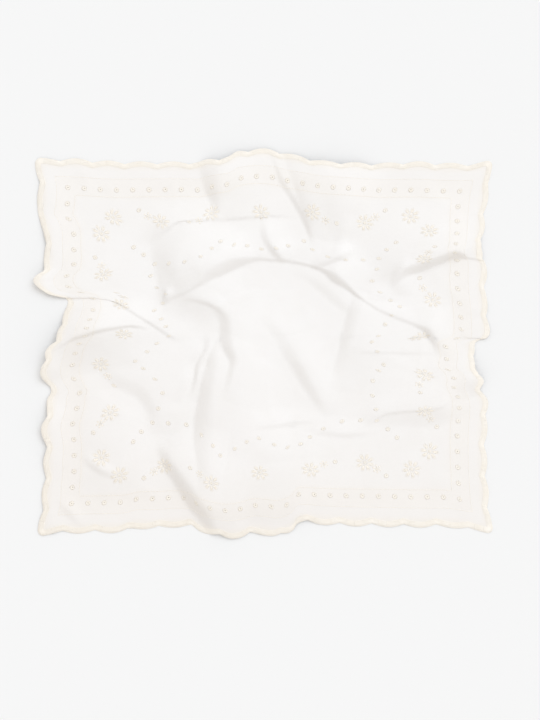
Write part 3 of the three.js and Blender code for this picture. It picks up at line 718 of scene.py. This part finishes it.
# %% Buttonhole edge
EDGE_PITCH = 1.15            # from stitch to stitch, where they lie widest apart
EDGE_SAMPLES = 8             # per millimetre of the outline
EDGE_TURN = 28               # samples over which the stitches fan round a notch
EDGE_UNEVEN = 0.06           # how far a stitch strays from its place
# the path of a stitch: how far in from the cut, and how high over the middle of the cloth
EDGE_PATH = np.array([(7.4, 0.09), (6.0, 0.17), (4.0, 0.27), (1.8, 0.31), (0.1, 0.26), (-0.3, 0),
                      (0.1, -0.26), (1.9, -0.3), (4.4, -0.22)])
EDGE_RADIUS = np.array([0.52, 0.72, 0.8, 0.82, 0.76, 0.6, 0.55, 0.55, 0.25])
LOOPS_OUT, LOOPS_RADIUS = 0.35, 0.45
SIDE_SAMPLES = 2400          # of one side, before the outline is measured


def outline_points():
    """Where the stitches cross the scalloped outline, with the ways along it and inwards."""
    t = np.linspace(0, SIDE, SIDE_SAMPLES + 1)[:-1]
    zero = np.zeros_like(t)
    u = np.concatenate([t, zero + SIDE, SIDE - t, zero])
    v = np.concatenate([zero, t, zero + SIDE, SIDE - t])
    line = np.stack(cut_edge(u, v), -1)
    line = np.vstack([line, line[:1]])
    length = np.concatenate([[0], np.cumsum(np.linalg.norm(np.diff(line, axis=0), axis=1))])
    at = np.linspace(0, length[-1], int(length[-1] * EDGE_SAMPLES))[:-1]
    points = np.stack([np.interp(at, length, line[:, k]) for k in (0, 1)], -1)
    way = np.roll(points, -EDGE_TURN, 0) - np.roll(points, EDGE_TURN, 0)
    way /= np.linalg.norm(way, axis=1)[:, None]
    inwards = np.stack([-way[:, 1], way[:, 0]], -1)
    inner = points + inwards * EDGE_PATH[1, 0]
    steps = [np.linalg.norm(np.roll(p, -1, 0) - p, axis=1) for p in (points, inner)]
    sewn = np.concatenate([[0], np.cumsum(np.maximum(*steps))])
    count = int(sewn[-1] / EDGE_PITCH)
    pick = np.searchsorted(sewn, np.arange(count) * sewn[-1] / count)
    return points[pick], way[pick], inwards[pick]


outline, outline_way, inwards = outline_points()
edge_paths = np.concatenate([
    outline[:, None] + inwards[:, None] * EDGE_PATH[None, :, :1],
    np.broadcast_to(EDGE_PATH[None, :, 1:], (len(outline), len(EDGE_PATH), 1))], -1)
edge_paths[:, :, :2] += outline_way[:, None] * chance.normal(0, EDGE_UNEVEN, (len(outline), 1, 1))
no_height = np.zeros((len(outline), 1))
edge_side = np.concatenate([outline_way, no_height], -1)[:, None]
loops = np.concatenate([outline - inwards * LOOPS_OUT, no_height], -1)[None]
loops_side = np.concatenate([inwards, no_height], -1)[None]
edge = sewn_piece("buttonhole_edge", [
    threads(edge_paths, edge_side, EDGE_RADIUS, flat=0.24),
    threads(loops, loops_side, LOOPS_RADIUS, closed=True, flat=0.7)])
print(len(outline), "stitches along the edge")

# %% [markdown]
# ## Eyelets, stitched lines and flowers
#
# An eyelet is a small hole whose rim is overcast. The lines beside the eyelets are plain stitches
# in a row. A daisy is an eyelet with a ring of petals, each petal a loop with satin stitches in it.


# %% Stitches to sew with
def rim(centre, outer, inner, count):
    """Stitches round the rim of a hole, from the outer ring over the rim to the back."""
    turn = np.arange(count) * 2 * np.pi / count
    out = np.stack([np.cos(turn), np.sin(turn)], -1)
    path = [(outer, 0.2), (outer * 0.8 + inner * 0.2, 0.41), (inner + 0.1, 0.4),
            (inner - 0.25, 0), (inner + 0.1, -0.3), (outer - 0.4, -0.25)]
    paths = np.array([[(centre[0] + r * x, centre[1] + r * y, w) for r, w in path]
                      for x, y in out])
    side = np.stack([-out[:, 1], out[:, 0], np.zeros(count)], -1)[:, None]
    wide = 2 * np.pi * (outer + inner) / 2 / count * 0.62
    return threads(paths, side, np.array([0.6, 1.1, 0.9, 0.8, 0.9, 0.5]) * wide, flat=0.32)


def straight(starts, ends, radius, rise):
    """Single straight stitches from starts to ends, (n, 2) each."""
    t = np.array([0, 0.12, 0.5, 0.88, 1])
    flat = starts[:, None] + (ends - starts)[:, None] * t[None, :, None]
    high = THICK / 2 - 0.1 + rise * np.sin(np.pi * np.clip(t, 0.02, 0.98)) ** 0.6
    paths = np.concatenate([flat, np.broadcast_to(high[None, :, None], (*flat.shape[:2], 1))], -1)
    way = ends - starts
    way /= np.linalg.norm(way, axis=1)[:, None]
    side = np.stack([-way[:, 1], way[:, 0], np.zeros(len(way))], -1)[:, None]
    return threads(paths, side, np.array([0.35, 0.85, 1, 0.85, 0.35]) * radius)


def petal(centre, turn, start, length, wide):
    """A petal: a loop of thread in the shape of a drop, filled with satin stitches."""
    t = np.linspace(0, 2 * np.pi, 13)[:-1]
    along = start + length * (1 - np.cos(t)) / 2
    across = wide / 2 * np.sin(t) * (0.45 + 0.55 * (1 - np.cos(t)) / 2)
    out = np.array([math.cos(turn), math.sin(turn)])
    left = np.array([-out[1], out[0]])
    loop = centre + along[:, None] * out + across[:, None] * left
    loop = np.concatenate([loop, np.full((len(t), 1), 0.24)], -1)[None]
    sides = np.broadcast_to([0.0, 0.0, 1.0], loop.shape)
    rows = np.array([-0.28, 0, 0.28])
    starts = centre + (start + length * 0.16) * out + rows[:, None] * wide * 0.35 * left
    ends = (centre + (start + length * (0.9 - 0.25 * np.abs(rows[:, None]))) * out
            + rows[:, None] * wide * 0.95 * left)
    return [threads(loop, sides, 0.3, closed=True), straight(starts, ends, 0.7, rise=0.1)]


# %% Sewing the eyelets and the lines
# rims: outer and inner radius, and how many stitches
EYELET_RIM, DOT_RIM = (3.5, 0.7, 20), (3.2, 0.6, 18)
DAISY_RIM, SMALL_RIM = (2.4, 0.5, 12), (1.8, 0.5, 10)
LINE_DEPTHS = (24.5, 48.0)
STITCH, GAP = 3.2, 0.5
vertex_place = lambda p: np.array(p) * CELL
eyelet_rims = sewn_piece("eyelet_rims", [rim(vertex_place(p), *EYELET_RIM) for p in eyelets])
lines = []
for side in range(4):
    for depth in LINE_DEPTHS:
        at = np.arange(depth, SIDE - depth - STITCH, STITCH + GAP)
        starts = np.array([on_side(side, t, depth) for t in at])
        ends = np.array([on_side(side, t + STITCH, depth) for t in at])
        lines.append(straight(starts, ends, 0.45, rise=0.15))
stitched_lines = sewn_piece("stitched_lines", lines)

# %% Sewing the flowers
# petals: how many, where they start from the middle, how long and how wide
DAISY_PETALS = (8, 3.0, 9.3, 5.1)
SMALL_PETALS = (6, 2.1, 3.6, 2.6)


def flowers(places, rim_sizes, petals):
    """Flowers with a rim in the middle and petals round it, each turned a little by chance."""
    count, *sizes = petals
    made = []
    for centre in map(vertex_place, places):
        made.append(rim(centre, *rim_sizes))
        tilt = chance.uniform(0, 2 * np.pi / count)
        for k in range(count):
            made += petal(centre, tilt + k * 2 * np.pi / count, *sizes)
    return made


daisy_sprays = sewn_piece("daisy_sprays", flowers(daisies, DAISY_RIM, DAISY_PETALS)
                          + flowers(small_flowers, SMALL_RIM, SMALL_PETALS))
dot_rims = sewn_piece("dot_festoon", [rim(vertex_place(p), *DOT_RIM) for p in dots])

# %% [markdown]
# ## Cotton
#
# The cloth is a fine plain weave, off-white, with threads that are a little uneven. The colour
# hardly changes: the middle is the whitest, and the border is slightly warmer where it has been
# worked. Towards the bottom and the left the colour is also painted a little darker, as painted
# shade where the light falls off.


# %% Cotton material
def node(tree, kind, **values):
    made = tree.nodes.new(kind)
    for name, value in values.items():
        setattr(made, name, value)
    return made


def plain_material(name, roughness, sheen):
    material = bpy.data.materials.new(name)
    material.use_nodes = True
    shader = material.node_tree.nodes["Principled BSDF"]
    shader.inputs["Roughness"].default_value = roughness
    shader.inputs["Sheen Weight"].default_value = sheen
    shader.inputs["Sheen Roughness"].default_value = 0.5
    shader.inputs["Specular IOR Level"].default_value = 0.2
    return material, material.node_tree, shader


def colours(tree, fac, stops):
    """A value turned into a colour, by stops of place and colour."""
    ramp = node(tree, "ShaderNodeValToRGB")
    while len(ramp.color_ramp.elements) < len(stops):
        ramp.color_ramp.elements.new(0.5)
    for element, (place, colour) in zip(ramp.color_ramp.elements, stops):
        element.position = place
        element.color = (*colour, 1)
    tree.links.new(fac, ramp.inputs["Fac"])
    return ramp.outputs["Color"]


def scaled_uv(tree, scale):
    uv = node(tree, "ShaderNodeUVMap", uv_map="flat")
    mapping = node(tree, "ShaderNodeMapping")
    mapping.inputs["Scale"].default_value = scale
    tree.links.new(uv.outputs["UV"], mapping.inputs["Vector"])
    return mapping.outputs["Vector"]


def flat_place(tree):
    """How far across the flat square and how far up it, as two shares."""
    place = node(tree, "ShaderNodeSeparateXYZ")
    tree.links.new(node(tree, "ShaderNodeUVMap", uv_map="flat").outputs["UV"], place.inputs[0])
    return place.outputs["X"], place.outputs["Y"]


def wave(tree, vector, direction, scale, distortion):
    made = node(tree, "ShaderNodeTexWave", wave_type="BANDS", bands_direction=direction)
    made.inputs["Scale"].default_value = scale
    made.inputs["Distortion"].default_value = distortion
    made.inputs["Detail"].default_value = 2
    tree.links.new(vector, made.inputs["Vector"])
    return made.outputs["Fac"]


def noise(tree, vector, scale, detail=3.0):
    made = node(tree, "ShaderNodeTexNoise")
    made.inputs["Scale"].default_value = scale
    made.inputs["Detail"].default_value = detail
    tree.links.new(vector, made.inputs["Vector"])
    return made.outputs["Fac"]


def maths(tree, operation, a, b):
    """One operation on two values, each a number or the output of another node."""
    made = node(tree, "ShaderNodeMath", operation=operation)
    for socket, value in zip(made.inputs, (a, b)):
        if isinstance(value, (int, float)):
            socket.default_value = value
        else:
            tree.links.new(value, socket)
    return made.outputs[0]


def mixed(tree, a, b):
    """One colour times another."""
    made = node(tree, "ShaderNodeMix", data_type="RGBA", blend_type="MULTIPLY")
    made.inputs["Factor"].default_value = 1
    tree.links.new(a, made.inputs[6])
    tree.links.new(b, made.inputs[7])
    return made.outputs[2]


def bump(tree, shader, height, distance, strength):
    made = node(tree, "ShaderNodeBump")
    made.inputs["Distance"].default_value = distance
    made.inputs["Strength"].default_value = strength
    tree.links.new(height, made.inputs["Height"])
    tree.links.new(made.outputs["Normal"], shader.inputs["Normal"])


CENTIMETRES = (SIDE / 10, SIDE / 10, 1)
WEAVE = (7.5, 0.6)                        # scale and unevenness of the threads
SLUB_LONG, SLUB_THIN = 12, 420            # slubs in the side of the square, along and across
cotton, tree, shader = plain_material("cotton_lawn", 0.92, 0.0)
flat = scaled_uv(tree, CENTIMETRES)
warp = wave(tree, flat, "X", *WEAVE)
weft = wave(tree, flat, "Y", *WEAVE)
slubs_one = noise(tree, scaled_uv(tree, (SLUB_LONG, SLUB_THIN, 1)), 1.0)
slubs_two = noise(tree, scaled_uv(tree, (SLUB_THIN, SLUB_LONG, 1)), 1.0)
weave = maths(tree, "ADD", maths(tree, "MULTIPLY", warp, weft),
              maths(tree, "MULTIPLY", maths(tree, "ADD", slubs_one, slubs_two), 0.6))
clouds = noise(tree, flat, 0.35, 4.0)
cloud_colour = colours(tree, clouds, [(0.3, (0.874, 0.856, 0.841)), (0.7, (0.884, 0.868, 0.857))])
across, up_cloth = flat_place(tree)
depth = maths(tree, "MINIMUM", *[maths(tree, "MINIMUM", share, maths(tree, "SUBTRACT", 1, share))
                                 for share in (across, up_cloth)])
# stops from the edge inwards, up to a fifth of the side
worked = colours(tree, maths(tree, "MULTIPLY", depth, 5), [
    (0.0, (1, 0.982, 0.950)), (0.07, (1, 0.982, 0.950)), (0.12, (1, 0.995, 0.988)),
    (0.19, (1, 0.995, 0.988)), (0.23, (1, 0.988, 0.970)), (0.40, (1, 0.988, 0.970)),
    (0.45, (1, 0.997, 0.992)), (1.0, (1, 1, 1))])
# painted shade: the cloth is made a little darker towards the bottom and the left, where the light
# falls off
painted_shade_falloff = colours(tree, maths(tree, "ADD", maths(tree, "MULTIPLY", across, 0.3), up_cloth),
               [(0.1, (0.980, 0.970, 0.962)), (0.7, (1, 1, 1))])
tree.links.new(mixed(tree, mixed(tree, cloud_colour, worked), painted_shade_falloff), shader.inputs["Base Color"])
bump(tree, shader, weave, 0.00008, 0.5)
cloth.data.materials.append(cotton)

# %% [markdown]
# ## Thread
#
# Embroidery cotton is cream, softly shiny and twisted. The colour wanders a little along the work.
# Towards the bottom left it is painted a little darker, as painted shade where the light falls off.

# %% Thread material
cream, tree, shader = plain_material("cream_thread", 0.7, 0.15)
flat = scaled_uv(tree, CENTIMETRES)
wander = noise(tree, flat, 0.8)
thread_colour = colours(tree, wander, [(0.3, (0.936, 0.886, 0.808)), (0.7, (0.948, 0.907, 0.844))])
# painted shade: the thread is made a little darker towards the bottom left, where its edge lies in
# shade
painted_shade_falloff = colours(tree, maths(tree, "ADD", *flat_place(tree)),
               [(0.1, (0.972, 0.962, 0.952)), (1.0, (1, 1, 1))])
tree.links.new(mixed(tree, thread_colour, painted_shade_falloff), shader.inputs["Base Color"])
bump(tree, shader, noise(tree, flat, 45.0, 2.0), 0.00006, 0.4)
sewn = [edge, eyelet_rims, stitched_lines, daisy_sprays, dot_rims]
for piece in sewn:
    piece.data.materials.append(cream)

# %% [markdown]
# ## Surface and light
#
# A pale surface under a large soft light from the upper right, as in a product studio. The light
# stands high, so slopes that face it are hardly brighter than the flat cloth, and only slopes that
# face away go grey.

# %% Surface
SURFACE_SIDE = 60                        # it has no edge in sight
SURFACE_BELOW = 0.0001
bpy.ops.object.select_all(action="DESELECT")
bpy.ops.mesh.primitive_plane_add(size=SURFACE_SIDE, location=(0, 0, -SURFACE_BELOW))
surface = bpy.context.object
surface.name = "studio_surface"
paper, tree, shader = plain_material("pale_surface", 0.9, 0.0)
shader.inputs["Base Color"].default_value = (0.86, 0.86, 0.86, 1)
surface.data.materials.append(paper)

# %% Light
SUN_HEIGHT = math.radians(52)
SUN_FROM = math.radians(50)              # turned from the right towards the back
SUN_WIDTH = math.radians(50)
SUN_COLOUR = (0.92, 1.01, 1.115)
SKY_COLOUR = (1.022, 0.998, 0.968, 1)
TOTAL = 1.081                            # light on a level surface, of which the sun gives a share
SUN_SHARE = 0.24
bpy.ops.object.select_all(action="DESELECT")
bpy.ops.object.light_add(type="SUN", location=(1, 1, 2))
sun = bpy.context.object
sun.data.angle = SUN_WIDTH
sun.data.energy = SUN_SHARE * math.pi / math.sin(SUN_HEIGHT)
sun.data.color = SUN_COLOUR
level = math.cos(SUN_HEIGHT)
towards = Vector((-math.cos(SUN_FROM) * level, -math.sin(SUN_FROM) * level,
                  -math.sin(SUN_HEIGHT)))
sun.rotation_euler = towards.to_track_quat("-Z", "Y").to_euler()
world = bpy.data.worlds.new("studio")
bpy.context.scene.world = world
world.use_nodes = True
sky = world.node_tree.nodes["Background"]
sky.inputs["Color"].default_value = SKY_COLOUR
sky.inputs["Strength"].default_value = TOTAL - SUN_SHARE
bpy.context.scene.view_settings.view_transform = "Standard"

# %% [markdown]
# ## What stands for what
#
# The square of cloth stands for the plain solid, and the stitches go with it.

# %% Joining the frame
for piece in [cloth, *sewn]:
    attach(piece, "root")
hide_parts("foulard")
bpy.context.view_layer.update()
